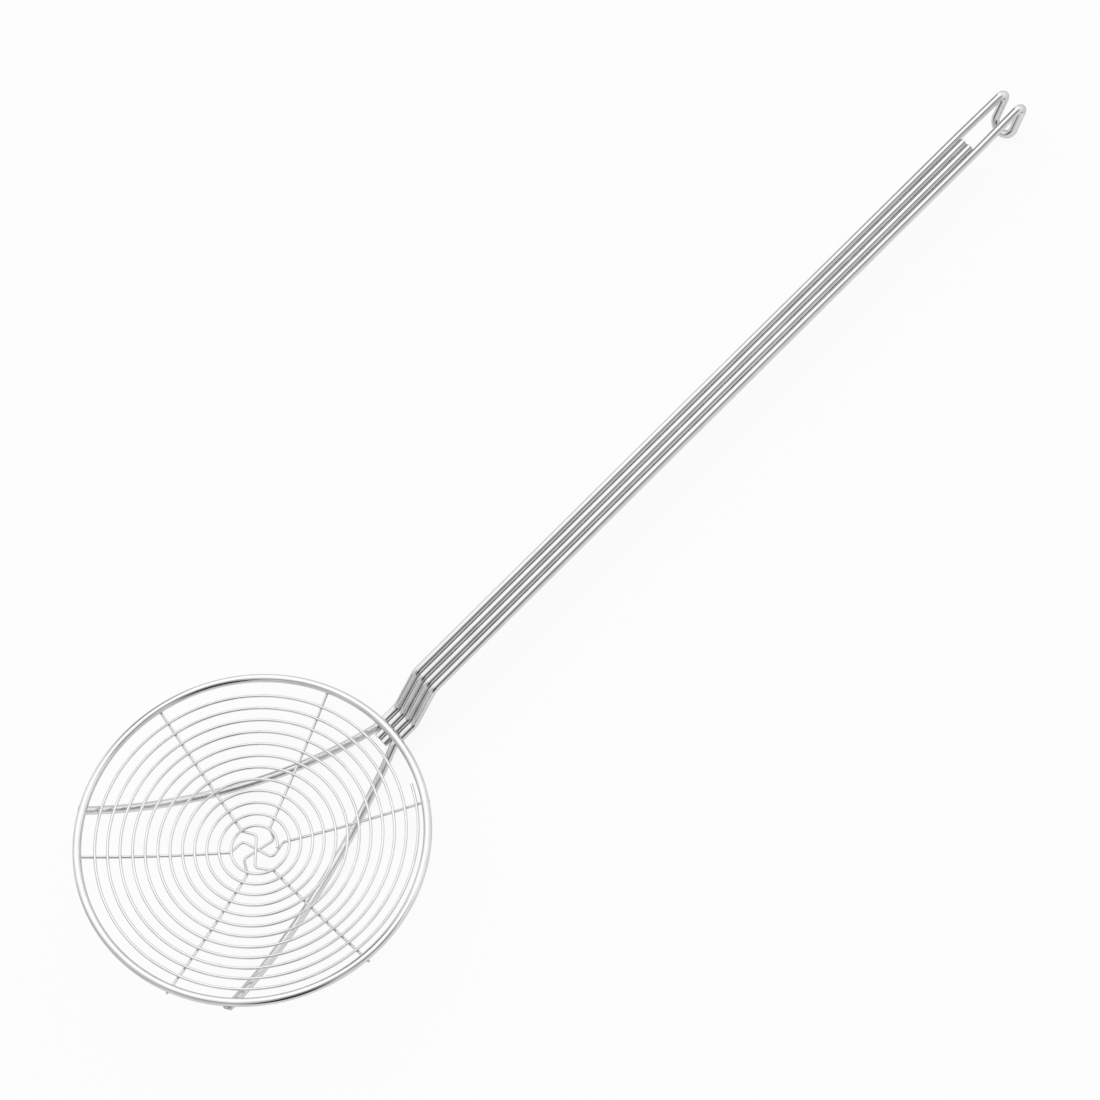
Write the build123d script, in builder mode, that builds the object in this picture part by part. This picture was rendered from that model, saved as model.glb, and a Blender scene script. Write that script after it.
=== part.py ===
from build123d import *
from math import asin, atan2, cos, degrees, hypot, pi, radians, sin, sqrt, tan
import os

# Wire spider skimmer: a shallow spiral dish on a long four-wire handle, welded from eight wires
# and lying as it does on a table, dish down at the left and hook at the right.
# Z is up from the table, X runs along the handle, and the origin is under the middle of the whole.

# Wire
heavy_wire = 4.8
thin_wire = 1.6
weld_gap = 0.05
handle_wire_gap = 0.06

# Dish
rim_diameter = 200.0
dish_fall = 18.6
dish_sag = 1.9
spoke_overhang = 2.8
spoke_seat_run = 2.0

# Hub, where the three spoke wires cross in a pinwheel
hub_outer_radius = 15.2
hub_inner_radius = 10.1
hub_bend = 2.8
hub_straighten = 4.0
hub_rise = 0.8

# Both arms of each spoke wire: bearings at the rim, at the hub and at the inner kink, in degrees round
# from the handle, and the shares of the inner radius at which the two kinks lie
long_spoke_bearings = ((85.0, 86.5, 54.6), (271.0, 267.4, 224.1))
long_spoke_kink_shares = (0.95, 1.03)
cross_spoke_bearings = ((145.0, 142.5, 102.6), (330.8, 338.3, 296.1))
cross_spoke_kink_shares = (1.07, 0.92)
back_spoke_bearings = ((204.3, 210.3, 163.4), (385.9, 384.3, 360.9))
back_spoke_kink_shares = (0.85, 1.18)

# Spiral
spiral_inner_radius = 11.2
spiral_rim_gap = 2.2
spiral_quarter_turns = 48
spiral_last_turn_share = 0.06
spiral_start_bearing = -44.0
spiral_offset_along = 1.15
spiral_offset_across = 1.25

# Struts under the dish
left_strut_bearing = 127.7
right_strut_bearing = 224.5
strut_sag = 24.0
strut_overhang = 2.4
strut_bow_share = 0.96

# Handle, from the rim outwards
under_rim_length = 13.9
under_rim_angle = 17.5
rim_bend_inset = 2.0
rim_bend = 10.0
inner_wire_tail = 6.4
jog_length = 27.3
jog_angle = 54.0
jog_bend = 7.0
handle_angle = 16.8
handle_length = 475.0
inner_wire_stop = 42.0

# Hanging hook
hook_width = 13.4
hook_pinch_bend = 60.0
tip_bend = 4.6
leg_angle = 22.5
leg_length = 28.2
hook_bottom_share = 0.98

rim_radius = (rim_diameter - heavy_wire) / 2
wire_pitch = heavy_wire + handle_wire_gap
outer_wire_side = wire_pitch * 3 / 2
inner_wire_side = wire_pitch / 2
spiral_lift = thin_wire + weld_gap


def arc_through(start, end, sag):
    """Centre and radius of an arc between two points of a dish section, bowed down by sag."""
    run = end[0] - start[0]
    rise = end[1] - start[1]
    half = hypot(run, rise) / 2
    radius = (half * half + sag * sag) / (2 * sag)
    reach = (radius - sag) / (2 * half)
    centre = ((start[0] + end[0]) / 2 - rise * reach, (start[1] + end[1]) / 2 + run * reach)
    return centre, radius


def wire_section(path, diameter):
    """The plane of a wire's round section at the start of its path."""
    return Plane(origin=path.line @ 0, z_dir=path.line % 0)


# The spokes lie on one gently bowed surface, and the spiral on the same surface one wire higher.
rim_to_spoke = heavy_wire / 2 + thin_wire / 2 + weld_gap
rim_slope = atan2(dish_fall + 2 * dish_sag, rim_radius - hub_outer_radius)
seat_height = -rim_to_spoke / cos(rim_slope)
hub_height = seat_height - dish_fall
dish_centre, dish_arc = arc_through((hub_outer_radius, hub_height), (rim_radius, seat_height), dish_sag)


def dish_height(radius, lift=0.0):
    """Height of the spokes' centre lines under the rim's plane, or of a line lift above them."""
    return dish_centre[1] - sqrt((dish_arc - lift) ** 2 - (radius - dish_centre[0]) ** 2)


def on_dish(radius, bearing, height):
    """A point of the dish from its radius, its bearing and its height over the rim's plane."""
    return Vector(radius * cos(radians(bearing)), radius * sin(radians(bearing)), height)


def along(start, slope, length):
    """A point of the handle's side view, from another one, a slope in degrees and a length."""
    return start[0] + length * cos(radians(slope)), start[1] + length * sin(radians(slope))


# Side view of the handle's centre line in the dish's own axes: X to the handle, Z out of the bowl
weld_reach = heavy_wire + weld_gap
rim_weld = (rim_radius, -weld_reach / cos(radians(under_rim_angle)))
rim_turn = along(rim_weld, under_rim_angle, -rim_bend_inset)
tail_end = along(rim_weld, under_rim_angle, -inner_wire_tail)
jog_foot = along(rim_weld, under_rim_angle, under_rim_length)
jog_head = along(jog_foot, jog_angle, jog_length)
inner_end = along(jog_head, handle_angle, handle_length - inner_wire_stop)
tip = along(jog_head, handle_angle, handle_length)
hook_low = along(tip, -90 - leg_angle, leg_length)
tip_turn = radians(handle_angle + 90 + leg_angle)


def strut_seat(bearing, side):
    """Where a strut's centre line runs under the rim, below it by the weld on the strut's slope."""
    flat = on_dish(rim_radius, bearing, 0)
    half_run = hypot(flat.X - rim_turn[0], flat.Y - side * outer_wire_side) / 2
    slope = 2 * atan2(strut_sag, half_run)
    return flat - Vector(0, 0, weld_reach / cos(slope))


def strut_points(bearing, side):
    """End, low corner and rim bend of one strut, with the radius that bows it."""
    seat = strut_seat(bearing, side)
    bend = Vector(rim_turn[0], side * outer_wire_side, rim_turn[1])
    half = (seat - bend).length / 2
    radius = (half * half + strut_sag * strut_sag) / (2 * strut_sag)
    slope = asin(half / radius)
    middle = (seat + bend) * 0.5
    corner = middle - Vector(0, 0, half * tan(slope))
    end = seat + (seat - corner).normalized() * strut_overhang
    return end, corner, bend, radius


def strut_low(bearing, side, tilt):
    """Height of a strut's lowest centre line point when the dish is tilted, over the dish centre."""
    seat = strut_seat(bearing, side)
    end, corner, bend, radius = strut_points(bearing, side)
    across = Vector(seat.X - bend.X, seat.Y - bend.Y, 0).normalized()
    up = Vector(-sin(tilt), 0, cos(tilt))
    bow = radius * strut_bow_share
    inner = (corner - bend).normalized()
    outer = (corner - seat).normalized()
    half_turn = inner.get_angle(outer * -1) / 2
    centre = corner - (inner + outer).normalized() * (bow / cos(radians(half_turn)))
    return centre.dot(up) - bow * hypot(up.dot(across), up.Z)


# The dish tilts until the struts and the bottom of the hook touch the table together.
low_tilt = 0.0
high_tilt = radians(handle_angle + leg_angle)
for step in range(40):
    tilt = (low_tilt + high_tilt) / 2
    strut_height = strut_low(left_strut_bearing, 1, tilt)
    hook_height = hook_low[1] * cos(tilt) - hook_low[0] * sin(tilt)
    if hook_height > strut_height:
        low_tilt = tilt
    else:
        high_tilt = tilt

tip_centre = along(along(tip, handle_angle, -tip_bend * tan(tip_turn / 2)), handle_angle - 90, tip_bend)
tip_reach = tip_centre[0] * cos(tilt) + tip_centre[1] * sin(tilt) + tip_bend
dish_reach = rim_radius * cos(tilt)
dish = Plane(
    origin=((dish_reach - tip_reach) / 2, 0, heavy_wire / 2 - strut_height),
    x_dir=(cos(tilt), 0, -sin(tilt)),
    z_dir=(sin(tilt), 0, cos(tilt)),
)
print(f"tilt {degrees(tilt):.2f} degrees, length {tip_reach + dish_reach + heavy_wire:.1f} mm")


def laid(*points):
    """Points given in the dish's own axes, where they lie over the table."""
    return [dish.from_local_coords(point) for point in points]


# Rim
rim_start = laid(Vector(rim_radius, 0, 0))[0]
with BuildPart() as rim_ring:
    with BuildSketch(Plane(origin=rim_start, x_dir=dish.x_dir, z_dir=dish.y_dir)):
        Circle(heavy_wire / 2)
    revolve(axis=Axis(dish.origin, dish.z_dir))

# Frame: strut, outer handle wire, hook, outer handle wire and strut in one length of wire
left_end, left_corner, left_bend, left_bow = strut_points(left_strut_bearing, 1)
right_end, right_corner, right_bend, right_bow = strut_points(right_strut_bearing, -1)


def handle_line(side):
    """Corners of an outer handle wire, from the jog's foot to the bottom of the hook."""
    places = [(place, outer_wire_side) for place in (jog_foot, jog_head, inner_end)]
    places += [(place, hook_width / 2) for place in (tip, hook_low)]
    return [Vector(place[0], side * out, place[1]) for place, out in places]


frame_corners = [left_end, left_corner, left_bend] + handle_line(1)
frame_corners += handle_line(-1)[::-1] + [right_bend, right_corner, right_end]
hook_bend = hook_width / 2 * hook_bottom_share
half_bends = [rim_bend, jog_bend, jog_bend, hook_pinch_bend, tip_bend, hook_bend]
frame_bends = [left_bow * strut_bow_share] + half_bends
frame_bends += half_bends[::-1] + [right_bow * strut_bow_share]

with BuildPart() as frame_wire:
    with BuildLine() as frame_path:
        FilletPolyline(*laid(*frame_corners), radius=frame_bends)
    with BuildSketch(wire_section(frame_path, heavy_wire)):
        Circle(heavy_wire / 2)
    sweep()

# Inner handle wires, cut square at both ends
inner_wires = []
for side in (inner_wire_side, -inner_wire_side):
    with BuildPart() as inner_wire:
        with BuildLine() as inner_path:
            inner_places = (tail_end, jog_foot, jog_head, inner_end)
            inner_corners = [Vector(place[0], side, place[1]) for place in inner_places]
            FilletPolyline(*laid(*inner_corners), radius=jog_bend)
        with BuildSketch(wire_section(inner_path, heavy_wire)):
            Circle(heavy_wire / 2)
        sweep()
    inner_wires.append(inner_wire)

# Spokes: each wire makes two arms, and drops under the others by its level where they cross
arm_half = (rim_radius - hub_outer_radius) / 2


def spoke_arm(bearings, kink_share, level):
    """Points of one arm from its end outside the rim to its last bend by the hub."""
    rim_bearing, hub_bearing, kink_bearing = bearings
    rim_place = on_dish(rim_radius, rim_bearing, 0)
    hub_place = on_dish(hub_outer_radius, hub_bearing, 0)
    way = (rim_place - hub_place).normalized()
    flat_seat = rim_place - way * spoke_seat_run
    flat_foot = hub_place + way * hub_straighten
    seat, middle, foot, outer_bend = [
        place + Vector(0, 0, dish_height(place.length))
        for place in (flat_seat, rim_place - way * arm_half, flat_foot, hub_place)
    ]
    slope = (rim_radius - dish_centre[0]) / (dish_centre[1] - dish_height(rim_radius))
    end = seat + (way + Vector(0, 0, slope)).normalized() * (spoke_seat_run + spoke_overhang)
    kink_height = dish_height(hub_inner_radius) + hub_rise - level * spiral_lift
    kink = on_dish(hub_inner_radius * kink_share, kink_bearing, kink_height)
    return end, seat, middle, foot, outer_bend, kink


spokes_from_top = {
    "long_spoke_wire": (long_spoke_bearings, long_spoke_kink_shares),
    "cross_spoke_wire": (cross_spoke_bearings, cross_spoke_kink_shares),
    "back_spoke_wire": (back_spoke_bearings, back_spoke_kink_shares),
}
spoke_wires = {}
for level, (name, (bearings, shares)) in enumerate(spokes_from_top.items()):
    first = laid(*spoke_arm(bearings[0], shares[0], level))
    last = laid(*spoke_arm(bearings[1], shares[1], level))
    with BuildPart() as spoke_wire:
        with BuildLine() as spoke_path:
            Line(first[0], first[1])
            ThreePointArc(first[1], first[2], first[3])
            FilletPolyline(first[3], first[4], first[5], last[5], last[4], last[3], radius=hub_bend)
            ThreePointArc(last[3], last[2], last[1])
            Line(last[1], last[0])
        with BuildSketch(wire_section(spoke_path, thin_wire)):
            Circle(thin_wire / 2)
        sweep()
    spoke_wires[name] = spoke_wire

# Spiral: quarter turns, each of two arcs that meet in line
spiral_turns = spiral_quarter_turns / 4 + spiral_last_turn_share
spiral_outer_radius = rim_radius - heavy_wire / 2 - spiral_rim_gap - thin_wire / 2
spiral_pitch = (spiral_outer_radius - spiral_inner_radius) / spiral_turns
spiral_centre = Vector(spiral_offset_along, spiral_offset_across, 0)


def spiral_point(turn):
    """A point of the spiral's centre line, resting on the spokes."""
    bearing = spiral_start_bearing + 360 * turn
    flat = spiral_centre + on_dish(spiral_inner_radius + spiral_pitch * turn, bearing, 0)
    return flat + Vector(0, 0, dish_height(hypot(flat.X, flat.Y), spiral_lift))


def spiral_way(turn):
    """The direction of the spiral at a turn."""
    short = 0.0001
    return (spiral_point(turn + short) - spiral_point(turn - short)).normalized()


def two_arcs(start, start_way, end, end_way):
    """Middle of the first arc, meeting point and middle of the second, for a smooth pair of arcs."""
    chord = end - start
    spread = 2 * (1 - start_way.dot(end_way))
    lean = chord.dot(start_way + end_way)
    reach = (sqrt(lean * lean + spread * chord.dot(chord)) - lean) / spread
    start_corner = start + start_way * reach
    end_corner = end - end_way * reach
    meeting = (start_corner + end_corner) * 0.5
    middles = []
    for first, corner, last in ((start, start_corner, meeting), (meeting, end_corner, end)):
        half = (last - first).length / 2
        share = half / (half + reach)
        middles.append((first + last) * 0.5 * (1 - share) + corner * share)
    return middles[0], meeting, middles[1]


quarter_ends = [quarter / 4 for quarter in range(spiral_quarter_turns + 1)] + [spiral_turns]
spiral_track = []
with BuildPart() as spiral_wire:
    with BuildLine() as spiral_path:
        for turn, next_turn in zip(quarter_ends, quarter_ends[1:]):
            here = spiral_point(turn)
            there = spiral_point(next_turn)
            ways = spiral_way(turn), spiral_way(next_turn)
            first_middle, meeting, last_middle = two_arcs(here, ways[0], there, ways[1])
            ThreePointArc(*laid(here, first_middle, meeting))
            ThreePointArc(*laid(meeting, last_middle, there))
            spiral_track += [here, first_middle, meeting, last_middle]
    with BuildSketch(wire_section(spiral_path, thin_wire)):
        Circle(thin_wire / 2)
    sweep()

# Nothing nearer along the wire than half a turn counts as another turn
half_turn_steps = 8
least_gap = min(
    (spiral_track[i] - spiral_track[j]).length - thin_wire
    for i in range(len(spiral_track))
    for j in range(i + half_turn_steps, len(spiral_track))
)
print(f"spiral: least gap between turns {least_gap:.2f} mm")
for name, path, part, diameter in (
    ("frame_wire", frame_path, frame_wire, heavy_wire),
    ("spiral_wire", spiral_path, spiral_wire, thin_wire),
):
    length = sum(edge.length for edge in path.line.edges())
    full = length * pi * diameter * diameter / 4
    print(f"{name}: {length:.0f} mm of wire, volume {part.part.volume / full:.4f} of section times length")

pieces = {
    "rim_ring": rim_ring,
    "frame_wire": frame_wire,
    "left_inner_wire": inner_wires[0],
    "right_inner_wire": inner_wires[1],
    "spiral_wire": spiral_wire,
} | spoke_wires
os.makedirs("parts", exist_ok=True)
for name, piece in pieces.items():
    piece.part.label = name
    export_step(piece.part, f"parts/{name}.step")
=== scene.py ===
import math

import bpy
from mathutils import Matrix, Vector, noise


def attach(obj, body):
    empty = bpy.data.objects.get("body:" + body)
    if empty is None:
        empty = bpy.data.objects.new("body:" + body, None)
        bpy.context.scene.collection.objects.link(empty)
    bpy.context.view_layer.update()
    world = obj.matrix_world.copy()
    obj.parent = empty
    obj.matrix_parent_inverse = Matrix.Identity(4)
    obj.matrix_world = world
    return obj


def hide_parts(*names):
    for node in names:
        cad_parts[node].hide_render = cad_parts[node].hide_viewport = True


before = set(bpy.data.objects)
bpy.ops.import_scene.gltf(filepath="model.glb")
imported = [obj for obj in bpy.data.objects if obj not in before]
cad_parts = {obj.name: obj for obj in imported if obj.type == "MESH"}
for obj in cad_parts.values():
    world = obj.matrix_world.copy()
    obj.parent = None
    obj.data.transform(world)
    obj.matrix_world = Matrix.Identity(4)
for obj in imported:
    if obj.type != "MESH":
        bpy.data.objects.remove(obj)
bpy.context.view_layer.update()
print("frame loaded")

mm = 0.001
body = "root"

# The dish has axes of its own: u to the handle, v across, w out of the bowl. Lengths are in mm, the tilt in radians.
dish = {
    "centre": Vector((-252.044, 0.0, 42.859)) * mm,
    "tilt": 0.297037,
    "rimRadius": 97.6,
    "fall": 18.6,
    "sag": 1.9,
}
dishAxes = (
    Vector((math.cos(dish["tilt"]), 0.0, -math.sin(dish["tilt"]))),
    Vector((0.0, 1.0, 0.0)),
    Vector((math.sin(dish["tilt"]), 0.0, math.cos(dish["tilt"]))),
)
heavyWire = {"radius": 2.4, "sides": 44, "gap": 0.06}
thinWire = {"radius": 0.8, "sides": 20, "gap": 0.05}
fewestBendSteps = 3


def turned(way):
    # a direction in the dish's axes, in those of the table
    return dishAxes[0] * way.x + dishAxes[1] * way.y + dishAxes[2] * way.z


def laid(points):
    # from the dish's axes in mm to the table's in metres
    return [dish["centre"] + turned(point) * mm for point in points]


def polar(radius, bearing, height=0.0):
    return Vector((radius * math.cos(math.radians(bearing)), radius * math.sin(math.radians(bearing)), height))


def roundedLine(corners, bends, stepDegrees):
    # a line of straight runs with a round bend at each corner
    points = [corners[0].copy()]
    for before, corner, after, bend in zip(corners, corners[1:], corners[2:], bends):
        wayIn = (corner - before).normalized()
        wayOut = (after - corner).normalized()
        turn = wayIn.angle(wayOut)
        start = corner - wayIn * (bend * math.tan(turn / 2))
        centre = corner + (wayOut - wayIn).normalized() * (bend / math.cos(turn / 2))
        axis = wayIn.cross(wayOut).normalized()
        steps = max(fewestBendSteps, math.ceil(math.degrees(turn) / stepDegrees))
        for i in range(steps + 1):
            points.append(centre + Matrix.Rotation(turn * i / steps, 3, axis) @ (start - centre))
    points.append(corners[-1].copy())
    return points


def newMaterial(name):
    material = bpy.data.materials.new(name)
    material.use_nodes = True
    tree = material.node_tree
    return material, tree, tree.nodes["Principled BSDF"]


def addNode(tree, kind, **settings):
    node = tree.nodes.new(kind)
    for key, value in settings.items():
        setattr(node, key, value)
    return node


def noiseNode(tree, source, scale, detail, stretch=(1.0, 1.0, 1.0)):
    mapping = addNode(tree, "ShaderNodeMapping")
    mapping.inputs["Scale"].default_value = stretch
    tree.links.new(source, mapping.inputs["Vector"])
    made = addNode(tree, "ShaderNodeTexNoise")
    made.inputs["Scale"].default_value = scale
    made.inputs["Detail"].default_value = detail
    tree.links.new(mapping.outputs["Vector"], made.inputs["Vector"])
    return made.outputs["Fac"]


def rangeNode(tree, source, low, high, fromLow=0.3, fromHigh=0.7):
    made = addNode(tree, "ShaderNodeMapRange")
    for key, value in (("From Min", fromLow), ("From Max", fromHigh), ("To Min", low), ("To Max", high)):
        made.inputs[key].default_value = value
    tree.links.new(source, made.inputs["Value"])
    return made.outputs["Result"]


def mathNode(tree, operation, first, second):
    made = addNode(tree, "ShaderNodeMath", operation=operation)
    for socket, value in zip(made.inputs, (first, second)):
        if isinstance(value, (int, float)):
            socket.default_value = value
        else:
            tree.links.new(value, socket)
    return made.outputs["Value"]


def toneNode(tree, factor, dark, light):
    made = addNode(tree, "ShaderNodeMix", data_type="RGBA")
    made.inputs["A"].default_value = dark
    made.inputs["B"].default_value = light
    tree.links.new(factor, made.inputs["Factor"])
    return made.outputs["Result"]


def bumpNode(tree, height, strength, depth, normal=None):
    made = addNode(tree, "ShaderNodeBump")
    made.inputs["Strength"].default_value = strength
    made.inputs["Distance"].default_value = depth
    tree.links.new(height, made.inputs["Height"])
    if normal:
        tree.links.new(normal, made.inputs["Normal"])
    return made.outputs["Normal"]


# Each noise has its scale and detail, and depths are in metres
heavyPolish = {
    "dark": (0.68, 0.675, 0.68, 1.0),
    "light": (0.77, 0.765, 0.77, 1.0),
    "edge": (0.66, 0.66, 0.66, 1.0),
    "smooth": 0.035,
    "dull": 0.11,
    "lines": (1.0, 4.0),
    "lineStretch": (9.0, 9.0, 26.0),
    "haze": (90.0, 3.0),
    "specks": (1400.0, 2.0),
    "toneRange": (0.75, 1.25),
    "dullRange": (0.35, 0.65),
    "dullFromLines": 0.45,
    "dullFromHaze": 0.55,
    "lineStrength": 0.35,
    "lineDepth": 0.000012,
    "speckStrength": 0.3,
    "speckDepth": 0.000006,
}

# The thin wire is duller, and differs only in these
thinPolish = {
    "dark": (0.69, 0.685, 0.69, 1.0),
    "light": (0.80, 0.795, 0.80, 1.0),
    "smooth": 0.2,
    "dull": 0.32,
    "lineDepth": 0.000005,
    "speckDepth": 0.000002,
}


def polishedSteel(name, polish):
    # drawn lines run along the wire, and a fine uneven polish lies over them
    material, tree, shader = newMaterial(name)
    drawn = addNode(tree, "ShaderNodeAttribute", attribute_name="drawn").outputs["Vector"]
    place = addNode(tree, "ShaderNodeTexCoord").outputs["Object"]
    lines = noiseNode(tree, drawn, *polish["lines"], polish["lineStretch"])
    haze = noiseNode(tree, place, *polish["haze"])
    specks = noiseNode(tree, place, *polish["specks"])
    worn = rangeNode(tree, mathNode(tree, "ADD", lines, haze), 0.0, 1.0, *polish["toneRange"])
    tree.links.new(toneNode(tree, worn, polish["dark"], polish["light"]), shader.inputs["Base Color"])
    shader.inputs["Metallic"].default_value = 1.0
    shader.inputs["Specular Tint"].default_value = polish["edge"]
    fromLines = mathNode(tree, "MULTIPLY", lines, polish["dullFromLines"])
    fromHaze = mathNode(tree, "MULTIPLY", haze, polish["dullFromHaze"])
    uneven = mathNode(tree, "ADD", fromLines, fromHaze)
    roughness = rangeNode(tree, uneven, polish["smooth"], polish["dull"], *polish["dullRange"])
    tree.links.new(roughness, shader.inputs["Roughness"])
    normal = bumpNode(tree, lines, polish["lineStrength"], polish["lineDepth"])
    normal = bumpNode(tree, specks, polish["speckStrength"], polish["speckDepth"], normal)
    tree.links.new(normal, shader.inputs["Normal"])
    return material


weldSkin = {
    "smallTones": ((0.40, 0.385, 0.36, 1.0), (0.62, 0.615, 0.61, 1.0)),
    "largeTones": ((0.54, 0.53, 0.515, 1.0), (0.72, 0.715, 0.71, 1.0)),
    "grain": (1800.0, 3.0),
    "patches": (420.0, 2.0),
    "roughness": (0.28, 0.48),
    "strength": 0.5,
    "depth": 0.00003,
}


def weldSteel(name, tones):
    # the grey, slightly rough skin of a spot weld, with a trace of straw colour
    material, tree, shader = newMaterial(name)
    place = addNode(tree, "ShaderNodeTexCoord").outputs["Object"]
    grain = noiseNode(tree, place, *weldSkin["grain"])
    patches = noiseNode(tree, place, *weldSkin["patches"])
    tree.links.new(toneNode(tree, rangeNode(tree, patches, 0.0, 1.0), *tones), shader.inputs["Base Color"])
    shader.inputs["Metallic"].default_value = 1.0
    tree.links.new(rangeNode(tree, grain, *weldSkin["roughness"]), shader.inputs["Roughness"])
    tree.links.new(bumpNode(tree, grain, weldSkin["strength"], weldSkin["depth"]), shader.inputs["Normal"])
    return material


heavySteel = polishedSteel("heavyWireSteel", heavyPolish)
thinSteel = polishedSteel("thinWireSteel", dict(heavyPolish, **thinPolish))
smallWeldSteel = weldSteel("smallWeldSteel", weldSkin["smallTones"])
largeWeldSteel = weldSteel("largeWeldSteel", weldSkin["largeTones"])
print("metals made")

sharpAngle = math.radians(38)


def meshPiece(name, points, faces, metals, nodes=(), faceMetals=None, drawn=None):
    mesh = bpy.data.meshes.new(name)
    mesh.from_pydata(points, [], faces)
    for metal in metals:
        mesh.materials.append(metal)
    if faceMetals:
        mesh.polygons.foreach_set("material_index", faceMetals)
    if drawn:
        attribute = mesh.attributes.new("drawn", "FLOAT_VECTOR", "POINT")
        attribute.data.foreach_set("vector", [part for point in drawn for part in point])
    mesh.polygons.foreach_set("use_smooth", [True] * len(mesh.polygons))
    mesh.set_sharp_from_angle(angle=sharpAngle)
    mesh.update()
    piece = bpy.data.objects.new(name, mesh)
    bpy.context.scene.collection.objects.link(piece)
    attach(piece, body)
    if nodes:
        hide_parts(*nodes)


# Shares of the wire's radius: the broken edge, the flat left inside it, and how far the flat is hollowed
cutEnd = {"chamfer": 0.16, "inner": 0.80, "dish": 0.05}


def waysAlong(line, closed):
    # the way that a wire runs at each point of its line
    count = len(line)
    ways = []
    for i, here in enumerate(line):
        before = line[i - 1] if i or closed else here
        after = line[(i + 1) % count] if i < count - 1 or closed else here
        ways.append((after - before).normalized())
    return ways


def wireRings(line, ways, radius, closed):
    # each ring's place, way and share of the radius; an open wire is cut off square, with its edge broken
    rings = [(here, way, 1.0) for here, way in zip(line, ways)]
    if closed:
        return rings
    chamfer = cutEnd["chamfer"] * radius
    rings[0] = (line[0] + ways[0] * chamfer, ways[0], 1.0)
    rings[-1] = (line[-1] - ways[-1] * chamfer, ways[-1], 1.0)
    return [(line[0], ways[0], cutEnd["inner"])] + rings + [(line[-1], ways[-1], cutEnd["inner"])]


def wirePiece(name, line, gauge, metal, node, closed=False):
    radius, sides = gauge["radius"] * mm, gauge["sides"]
    ways = waysAlong(line, closed)
    rings = wireRings(line, ways, radius, closed)
    side = ways[0].orthogonal().normalized()
    points, drawn, run, before = [], [], 0.0, line[0]
    for here, way, share in rings:
        side = (side - way * side.dot(way)).normalized()
        across = way.cross(side)
        run += (here - before).length
        before = here
        for k in range(sides):
            angle = 2 * math.pi * k / sides
            c, s = math.cos(angle), math.sin(angle)
            points.append(here + (side * c + across * s) * (radius * share))
            drawn.append((c, s, run))
    faces = []
    ringCount = len(rings)
    for i in range(ringCount if closed else ringCount - 1):
        a, b = i * sides, (i + 1) % ringCount * sides
        for k in range(sides):
            n = (k + 1) % sides
            faces.append((a + k, a + n, b + n, b + k))
    faceMetals = [0] * len(faces)
    if not closed:
        for start, place, way in ((0, line[0], ways[0]), ((ringCount - 1) * sides, line[-1], -ways[-1])):
            centre = len(points)
            points.append(place + way * (cutEnd["dish"] * radius))
            drawn.append((0.0, 0.0, 0.0))
            for k in range(sides):
                n = (k + 1) % sides
                faces.append((start + n, start + k, centre) if start == 0 else (start + k, start + n, centre))
                faceMetals.append(1)
    meshPiece(name, points, faces, (metal, largeWeldSteel), (node,), faceMetals, drawn)


rimSteps = 240
rimLine = laid([polar(dish["rimRadius"], 360 * i / rimSteps) for i in range(rimSteps)])
wirePiece("rimRing", rimLine, heavyWire, heavySteel, "rim_ring", closed=True)

# The handle is set out from its side, in the dish's u and w. A pair is a length in mm and an angle in degrees, and a
# lane is how many wire pitches a wire lies from the handle's middle.
handle = {
    "underRim": (13.9, 17.5),
    "rimBendInset": 2.0,
    "rimBend": 10.0,
    "innerTail": 6.4,
    "jog": (27.3, 54.0),
    "jogBend": 7.0,
    "grip": (475.0, 16.8),
    "innerStop": 42.0,
    "outerLane": 1.5,
    "innerLane": 0.5,
    "stepDegrees": 2.0,
}
hook = {"width": 13.4, "pinchBend": 60.0, "tipBend": 4.6, "leg": (28.2, -112.5), "bottomShare": 0.98}


def along(start, angle, length):
    return start[0] + length * math.cos(math.radians(angle)), start[1] + length * math.sin(math.radians(angle))


def besideMiddle(places, across):
    # places of the side view, moved across from the handle's middle
    return [Vector((place[0], across, place[1])) for place in places]


underLength, underAngle = handle["underRim"]
jogLength, jogAngle = handle["jog"]
gripLength, gripAngle = handle["grip"]
legLength, legAngle = hook["leg"]
wirePitch = 2 * heavyWire["radius"] + heavyWire["gap"]
outerAcross = wirePitch * handle["outerLane"]
innerAcross = wirePitch * handle["innerLane"]
hookAcross = hook["width"] / 2
weldReach = 2 * heavyWire["radius"] + thinWire["gap"]
rimWeld = (dish["rimRadius"], -weldReach / math.cos(math.radians(underAngle)))
rimTurn = along(rimWeld, underAngle, -handle["rimBendInset"])
tailEnd = along(rimWeld, underAngle, -handle["innerTail"])
jogFoot = along(rimWeld, underAngle, underLength)
jogHead = along(jogFoot, jogAngle, jogLength)
innerEnd = along(jogHead, gripAngle, gripLength - handle["innerStop"])
tip = along(jogHead, gripAngle, gripLength)
hookLow = along(tip, legAngle, legLength)

# Each strut's bearing at the rim is kept by its side: 1 is left, -1 is right
struts = {"bearings": {1: 127.7, -1: 224.5}, "sag": 24.0, "overhang": 1.2, "bowShare": 0.96}


def strutCorners(side):
    # end, low corner and rim bend of a strut, with the radius of its bow
    bend = besideMiddle([rimTurn], side * outerAcross)[0]
    flat = polar(dish["rimRadius"], struts["bearings"][side])
    halfRun = math.hypot(flat.x - bend.x, flat.y - bend.y) / 2
    seat = flat - Vector((0, 0, weldReach / math.cos(2 * math.atan2(struts["sag"], halfRun))))
    half = (seat - bend).length / 2
    radius = (half * half + struts["sag"] ** 2) / (2 * struts["sag"])
    corner = (seat + bend) * 0.5 - Vector((0, 0, half * math.tan(math.asin(half / radius))))
    end = seat + (seat - corner).normalized() * struts["overhang"]
    return [end, corner, bend], radius * struts["bowShare"]


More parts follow.
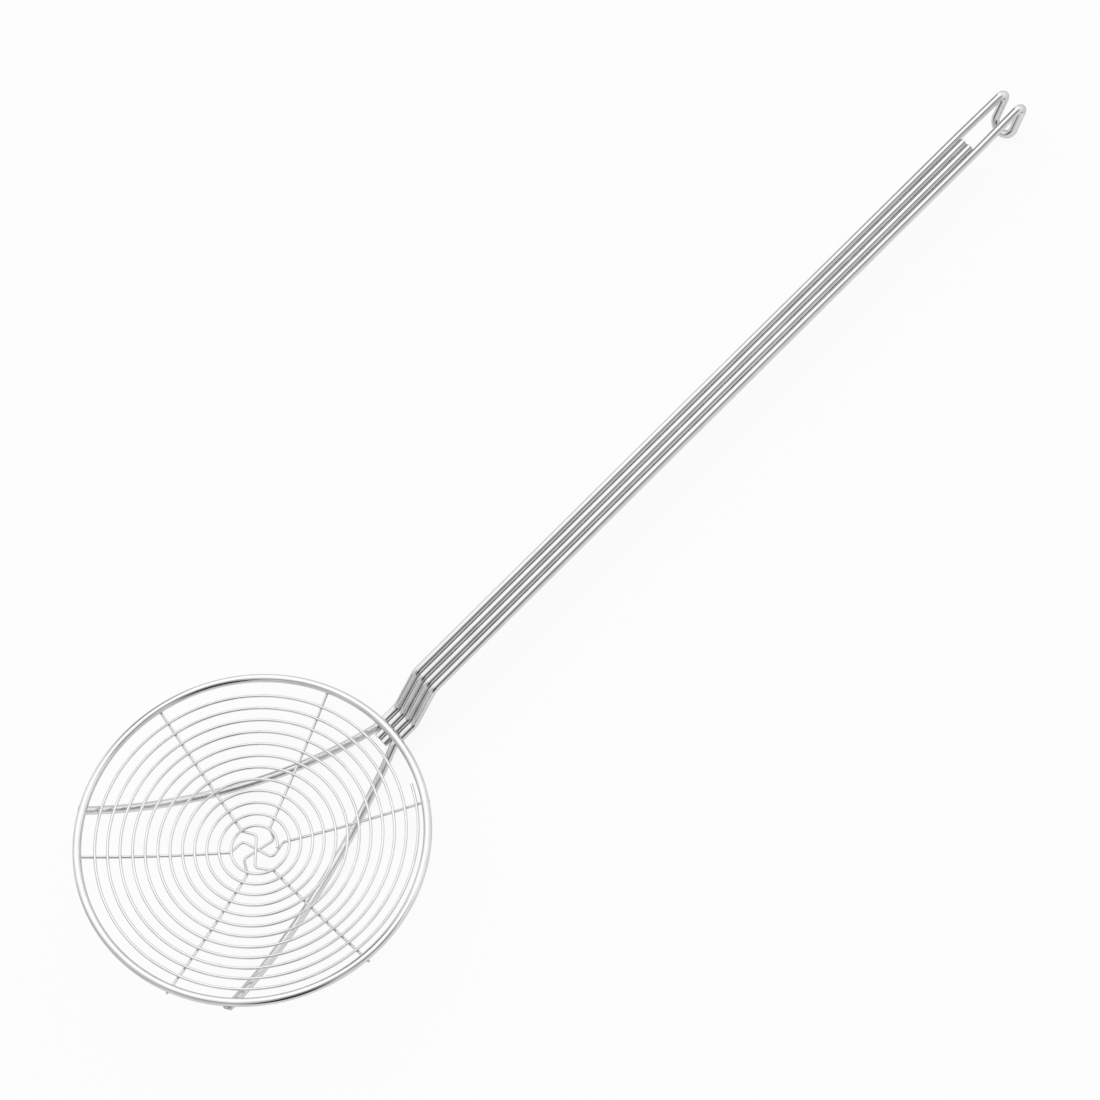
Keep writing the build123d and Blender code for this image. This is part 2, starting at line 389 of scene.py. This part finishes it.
def sideLine(side):
    # one side of the frame wire, from the strut's end to the bottom of the hook
    corners, bow = strutCorners(side)
    corners += besideMiddle((jogFoot, jogHead, innerEnd), side * outerAcross)
    corners += besideMiddle((tip, hookLow), side * hookAcross)
    bends = [bow, handle["rimBend"], handle["jogBend"], handle["jogBend"], hook["pinchBend"], hook["tipBend"]]
    return corners, bends + [hookAcross * hook["bottomShare"]]


leftCorners, leftBends = sideLine(1)
rightCorners, rightBends = sideLine(-1)
frameCorners, frameBends = leftCorners + rightCorners[::-1], leftBends + rightBends[::-1]
frameLine = laid(roundedLine(frameCorners, frameBends, handle["stepDegrees"]))
wirePiece("frameWire", frameLine, heavyWire, heavySteel, "frame_wire")
for name, node, side in (("leftInnerWire", "left_inner_wire", 1), ("rightInnerWire", "right_inner_wire", -1)):
    corners = besideMiddle((tailEnd, jogFoot, jogHead, innerEnd), side * innerAcross)
    innerLine = laid(roundedLine(corners, [handle["jogBend"]] * 2, handle["stepDegrees"]))
    wirePiece(name, innerLine, heavyWire, heavySteel, node)
print("rim, frame and handle wires made")

# Each spoke has two arms: bearings at the rim, at the hub and at the inner kink, and the kink's share of its radius
spokes = {
    "hubRadius": 15.2,
    "kinkRadius": 10.1,
    "bend": 2.8,
    "stepDegrees": 6.0,
    "straighten": 4.0,
    "rise": 0.8,
    "overhang": 2.8,
    "seatRun": 2.0,
    "armSteps": 24,
    "wires": (
        ("longSpoke", "long_spoke_wire", (((85.0, 86.5, 54.6), 0.95), ((271.0, 267.4, 224.1), 1.03))),
        ("crossSpoke", "cross_spoke_wire", (((145.0, 142.5, 102.6), 1.07), ((330.8, 338.3, 296.1), 0.92))),
        ("backSpoke", "back_spoke_wire", (((204.3, 210.3, 163.4), 0.85), ((385.9, 384.3, 360.9), 1.18))),
    ),
}
bowlRun = dish["rimRadius"] - spokes["hubRadius"]
seatSlope = math.atan2(dish["fall"] + 2 * dish["sag"], bowlRun)
rimDrop = (heavyWire["radius"] + thinWire["radius"] + thinWire["gap"]) / math.cos(seatSlope)
bowlHalf = math.hypot(bowlRun, dish["fall"]) / 2
bowlRadius = (bowlHalf ** 2 + dish["sag"] ** 2) / (2 * dish["sag"])
bowlReach = (bowlRadius - dish["sag"]) / (2 * bowlHalf)
bowlMiddle = (
    (dish["rimRadius"] + spokes["hubRadius"]) / 2 - dish["fall"] * bowlReach,
    -rimDrop - dish["fall"] / 2 + bowlRun * bowlReach,
)
spiralLift = 2 * thinWire["radius"] + thinWire["gap"]


def bowlHeight(radius, lift=0.0):
    # the bowed arc of a spoke's middle line, or a line lifted off it
    return bowlMiddle[1] - math.sqrt((bowlRadius - lift) ** 2 - (radius - bowlMiddle[0]) ** 2)


def onBowl(flat, lift=0.0):
    return Vector((flat.x, flat.y, bowlHeight(math.hypot(flat.x, flat.y), lift)))


def spokeArm(bearings, kinkShare, level):
    # the arm's line from past the rim to the hub, with the places of its bends at the hub and the kink
    rimPlace = polar(dish["rimRadius"], bearings[0])
    hubPlace = polar(spokes["hubRadius"], bearings[1])
    way = (rimPlace - hubPlace).normalized()
    seat = rimPlace - way * spokes["seatRun"]
    foot = hubPlace + way * spokes["straighten"]
    slope = (dish["rimRadius"] - bowlMiddle[0]) / (bowlMiddle[1] - bowlHeight(dish["rimRadius"]))
    outWay = (way + Vector((0, 0, slope))).normalized()
    steps = spokes["armSteps"]
    arm = [onBowl(seat) + outWay * (spokes["seatRun"] + spokes["overhang"])]
    arm += [onBowl(seat.lerp(foot, i / steps)) for i in range(steps + 1)]
    kinkHeight = bowlHeight(spokes["kinkRadius"]) + spokes["rise"] - level * spiralLift
    return arm, onBowl(hubPlace), polar(spokes["kinkRadius"] * kinkShare, bearings[2], kinkHeight)


armLines = []
for level, (name, node, arms) in enumerate(spokes["wires"]):
    (firstArm, firstHub, firstKink), (lastArm, lastHub, lastKink) = [spokeArm(*arm, level) for arm in arms]
    armLines += [firstArm, lastArm]
    corners = [firstArm[-1], firstHub, firstKink, lastKink, lastHub, lastArm[-1]]
    hub = roundedLine(corners, [spokes["bend"]] * 4, spokes["stepDegrees"])
    wirePiece(name, laid(firstArm + hub[1:-1] + lastArm[::-1]), thinWire, thinSteel, node)

spiral = {
    "innerRadius": 11.2,
    "rimGap": 2.2,
    "turns": 12.06,
    "startBearing": -44.0,
    "offset": Vector((1.15, 1.25, 0.0)),
    "stepsPerTurn": 150,
    "waver": 0.22,
    "waverPace": (3.1, 0.37),
    "waverStart": 2.5,
}
outerRadius = dish["rimRadius"] - heavyWire["radius"] - spiral["rimGap"] - thinWire["radius"]
pitch = (outerRadius - spiral["innerRadius"]) / spiral["turns"]


def spiralPoint(turn):
    # hand winding leaves each turn a little uneven
    fast, slow = spiral["waverPace"]
    waver = spiral["waver"] * noise.noise(Vector((turn * fast, slow * turn, spiral["waverStart"]))) * min(1.0, turn)
    radius = spiral["innerRadius"] + pitch * turn + waver
    return onBowl(spiral["offset"] + polar(radius, spiral["startBearing"] + 360 * turn), spiralLift)


spiralSteps = math.ceil(spiral["turns"] * spiral["stepsPerTurn"])
spiralLine = [spiralPoint(spiral["turns"] * i / spiralSteps) for i in range(spiralSteps + 1)]
wirePiece("spiralWire", laid(spiralLine), thinWire, thinSteel, "spiral_wire")
print("spokes and spiral made")

# Each weld is a nugget of melted metal, given as half its length, width and height in mm
welds = {
    "rows": 8,
    "columns": 16,
    "uneven": 0.12,
    "unevenScale": 900,
    "crossing": (1.02, 0.94, 0.42),
    "hubReach": 4.5,
    "spokeToRim": (1.35, 1.3, 0.5),
    "strutToRim": (2.9, 2.2, 1.55),
    "strutDrop": 0.5,
    "handleToRim": (2.2, 2.0, 1.0),
    "crease": (2.6, 0.75, 0.9),
    "creaseDrop": 1.0,
    "creasePlaces": (14.0, 118.0, 222.0, 326.0, 424.0),
}
acrossWay = Vector((0, 1, 0))


def weldNugget(points, faces, place, middle, across, size):
    # an uneven ball, pressed flat, with a point at its top and at its bottom
    up = middle.cross(across)
    first, rows, columns = len(points), welds["rows"], welds["columns"]
    for i in range(1, rows):
        tilt = math.pi * i / rows
        for k in range(columns):
            turn = 2 * math.pi * k / columns
            bump = noise.noise(place * welds["unevenScale"] + Vector((math.cos(turn), math.sin(turn), tilt)))
            reach = (1 + welds["uneven"] * bump) * math.sin(tilt)
            part = middle * (size[0] * reach * math.cos(turn)) + across * (size[1] * reach * math.sin(turn))
            points.append(place + (part + up * (size[2] * math.cos(tilt))) * mm)
    top, last = len(points), len(points) - columns
    points += [place + up * (size[2] * mm), place - up * (size[2] * mm)]
    for k in range(columns):
        n = (k + 1) % columns
        faces += [(top, first + k, first + n), (top + 1, last + n, last + k)]
        for a in range(first, last, columns):
            faces.append((a + k, a + columns + k, a + columns + n, a + n))


def crossedWeld(points, faces, place, wayA, wayB, size):
    # a nugget squeezed out between two wires that cross
    wayA, wayB = [turned(way).normalized() for way in (wayA, wayB)]
    middle = (wayA + wayB).normalized()
    across = wayA.cross(wayB).normalized().cross(middle)
    weldNugget(points, faces, laid([place])[0], middle, across, size)


def crossings(armLine):
    # where the spiral passes over one arm: the side of the arm's line changes within its reach
    start, end = armLine[0].copy(), armLine[-1].copy()
    start.z = end.z = 0.0
    reach = (end - start).length + welds["hubReach"]
    way = (end - start).normalized()
    found = []
    for here, there in zip(spiralLine, spiralLine[1:]):
        sides = [way.x * (p.y - start.y) - way.y * (p.x - start.x) for p in (here, there)]
        if sides[0] * sides[1] <= 0 and 0 < (here - start).dot(way) < reach:
            found.append((here.lerp(there, sides[0] / (sides[0] - sides[1])), there - here, way))
    return found


def rimContact(rimPlace, outWay, drop):
    # where a wire that runs out along outWay meets the rim from below, and the way of the rim there
    rimWay = Vector((-rimPlace.y, rimPlace.x, 0.0)).normalized()
    under = outWay.cross(rimWay).normalized()
    return rimPlace - under * math.copysign(drop, under.z), rimWay


beadPoints, beadFaces = [], []
for armLine in armLines:
    for cross, wayA, wayB in crossings(armLine):
        middle = cross - Vector((0, 0, spiralLift / 2))
        crossedWeld(beadPoints, beadFaces, middle, wayA, wayB, welds["crossing"])
meshPiece("spiralWelds", beadPoints, beadFaces, (smallWeldSteel,))

beadPoints, beadFaces = [], []
for armLine in armLines:
    outWay = (armLine[0] - armLine[1]).normalized()
    rimPlace = Vector((armLine[0].x, armLine[0].y, 0.0)).normalized() * dish["rimRadius"]
    contact, rimWay = rimContact(rimPlace, outWay, heavyWire["radius"])
    crossedWeld(beadPoints, beadFaces, contact, outWay, rimWay, welds["spokeToRim"])
for side, bearing in struts["bearings"].items():
    corners, bow = strutCorners(side)
    outWay = (corners[0] - corners[1]).normalized()
    contact, rimWay = rimContact(polar(dish["rimRadius"], bearing), outWay, heavyWire["radius"] + welds["strutDrop"])
    weldNugget(beadPoints, beadFaces, laid([contact])[0], turned(rimWay), turned(outWay), welds["strutToRim"])
underWay = Vector((math.cos(math.radians(underAngle)), 0.0, math.sin(math.radians(underAngle))))
rimFoot = (dish["rimRadius"], -heavyWire["radius"] / math.cos(math.radians(underAngle)))
for across in (-outerAcross, -innerAcross, innerAcross, outerAcross):
    contact = besideMiddle([rimFoot], across)[0]
    crossedWeld(beadPoints, beadFaces, contact, underWay, acrossWay, welds["handleToRim"])
meshPiece("rimWelds", beadPoints, beadFaces, (largeWeldSteel,))

# The handle's wires are tacked to each other underneath, in the creases between them
beadPoints, beadFaces = [], []
gripUp = Vector((-math.sin(math.radians(gripAngle)), 0.0, math.cos(math.radians(gripAngle))))
gripWay = turned(Vector((gripUp.z, 0.0, -gripUp.x)))
for run in welds["creasePlaces"]:
    for lane in (-1, 0, 1):
        crease = besideMiddle([along(jogHead, gripAngle, run)], lane * wirePitch)[0]
        middle = laid([crease - gripUp * welds["creaseDrop"]])[0]
        weldNugget(beadPoints, beadFaces, middle, gripWay, acrossWay, welds["crease"])
meshPiece("handleWelds", beadPoints, beadFaces, (largeWeldSteel,))
print("welds made")

# The camera and mirrored rays see these shares of the table as plain white, and the rest as it is lit
stage = {
    "floorHalf": 40.0,
    "floorTone": (0.93, 0.93, 0.93, 1.0),
    "roughness": 0.9,
    "plain": 0.9,
    "plainMirrored": 0.6,
}
floorMesh = bpy.data.meshes.new("tableTop")
half = stage["floorHalf"]
floorMesh.from_pydata([(-half, -half, 0), (half, -half, 0), (half, half, 0), (-half, half, 0)], [], [(0, 1, 2, 3)])
floor = bpy.data.objects.new("tableTop", floorMesh)
bpy.context.scene.collection.objects.link(floor)
floorMaterial, tree, shader = newMaterial("tableTop")
shader.inputs["Base Color"].default_value = stage["floorTone"]
shader.inputs["Roughness"].default_value = stage["roughness"]
shader.inputs["Specular IOR Level"].default_value = 0.0
rays = addNode(tree, "ShaderNodeLightPath")
mirrored = mathNode(tree, "MAXIMUM", rays.outputs["Is Glossy Ray"], rays.outputs["Is Transmission Ray"])
mirrored = mathNode(tree, "MULTIPLY", mirrored, stage["plainMirrored"])
seen = mathNode(tree, "MULTIPLY", rays.outputs["Is Camera Ray"], stage["plain"])
glow = addNode(tree, "ShaderNodeEmission")
glow.inputs["Strength"].default_value = 1.0
blend = addNode(tree, "ShaderNodeMixShader")
tree.links.new(mathNode(tree, "MAXIMUM", seen, mirrored), blend.inputs["Fac"])
tree.links.new(shader.outputs["BSDF"], blend.inputs[1])
tree.links.new(glow.outputs["Emission"], blend.inputs[2])
tree.links.new(blend.outputs["Shader"], tree.nodes["Material Output"].inputs["Surface"])
floorMesh.materials.append(floorMaterial)

# Studio: an even pale room with a bright ceiling at the back, dim sides, and dark cards that draw lines in the metal
studio = {
    "room": 1.08,
    "patches": (
        # bearing and height in degrees, full and fading half width, level
        (55, 62, 20, 65, 1.25),
        (190, 25, 35, 70, 0.72),
        (206, 54, 8, 22, 0.48),
        (275, 20, 10, 40, 0.70),
        (255, 2, 6, 20, 0.45),
        (296, 50, 6, 13, 0.28),
        (317, 34, 3, 14, 0.42),
        (280, 75, 4, 10, 0.55),
        (280, 58, 5, 20, 0.32),
        (298, 24, 5, 17, 0.28),
        (30, 2, 8, 20, 0.74),
        (75, 2, 8, 20, 0.70),
        (118, 2, 8, 20, 0.72),
        (71, 34, 5, 10, 0.12),
        (73, 18, 5, 10, 0.05),
        (143, 0, 8, 18, 0.15),
        (158, 1, 5, 12, 0.22),
        (173, 3, 6, 13, 0.20),
        (247, 17, 8, 22, 0.16),
        (250, 34, 9, 25, 0.02),
    ),
    "backdrop": (1.0, 1.0, 1.0, 1.0),
}


def addPatch(tree, way, level, bearing, height, inner, outer, patchLevel):
    # a round patch of the room, which fades out between its inner and its outer half width
    dot = addNode(tree, "ShaderNodeVectorMath", operation="DOT_PRODUCT")
    dot.inputs[1].default_value = polar(math.cos(math.radians(height)), bearing, math.sin(math.radians(height)))
    tree.links.new(way, dot.inputs[0])
    fade = addNode(tree, "ShaderNodeMapRange", interpolation_type="SMOOTHSTEP")
    fade.inputs["From Min"].default_value = math.cos(math.radians(outer))
    fade.inputs["From Max"].default_value = math.cos(math.radians(inner))
    tree.links.new(dot.outputs["Value"], fade.inputs["Value"])
    mix = addNode(tree, "ShaderNodeMix")
    tree.links.new(fade.outputs["Result"], mix.inputs["Factor"])
    if isinstance(level, float):
        mix.inputs["A"].default_value = level
    else:
        tree.links.new(level, mix.inputs["A"])
    mix.inputs["B"].default_value = patchLevel
    return mix.outputs["Result"]


world = bpy.data.worlds.new("studio")
bpy.context.scene.world = world
world.use_nodes = True
tree = world.node_tree
tree.nodes.clear()
way = addNode(tree, "ShaderNodeTexCoord").outputs["Generated"]
level = studio["room"]
for patch in studio["patches"]:
    level = addPatch(tree, way, level, *patch)
room = addNode(tree, "ShaderNodeBackground")
tree.links.new(level, room.inputs["Color"])
backdrop = addNode(tree, "ShaderNodeBackground")
backdrop.inputs["Color"].default_value = studio["backdrop"]
rays = addNode(tree, "ShaderNodeLightPath")
blend = addNode(tree, "ShaderNodeMixShader")
tree.links.new(rays.outputs["Is Camera Ray"], blend.inputs["Fac"])
tree.links.new(room.outputs["Background"], blend.inputs[1])
tree.links.new(backdrop.outputs["Background"], blend.inputs[2])
tree.links.new(blend.outputs["Shader"], addNode(tree, "ShaderNodeOutputWorld").inputs["Surface"])

lamp = {"place": Vector((0.9, 1.1, 1.9)), "size": 1.8, "power": 2.5}
softbox = bpy.data.lights.new("softbox", "AREA")
softbox.size = lamp["size"]
softbox.energy = lamp["power"]
softboxObject = bpy.data.objects.new("softbox", softbox)
softboxObject.location = lamp["place"]
softboxObject.rotation_euler = (-lamp["place"]).to_track_quat("-Z", "Y").to_euler()
bpy.context.scene.collection.objects.link(softboxObject)

cameraView = {
    "place": (-0.0769, -0.5964, 1.4272),
    "turn": (18.203, 14.696, -42.827),
    "lens": 88.468,
    "sensor": 36.0,
    "farthest": 50.0,
}
camera = bpy.data.cameras.new("camera")
camera.lens = cameraView["lens"]
camera.sensor_width = cameraView["sensor"]
camera.clip_end = cameraView["farthest"]
cameraObject = bpy.data.objects.new("camera", camera)
cameraObject.location = cameraView["place"]
cameraObject.rotation_euler = [math.radians(angle) for angle in cameraView["turn"]]
bpy.context.scene.collection.objects.link(cameraObject)
bpy.context.scene.camera = cameraObject
bpy.context.scene.view_settings.view_transform = "Standard"
print("stage, lamp and camera made")
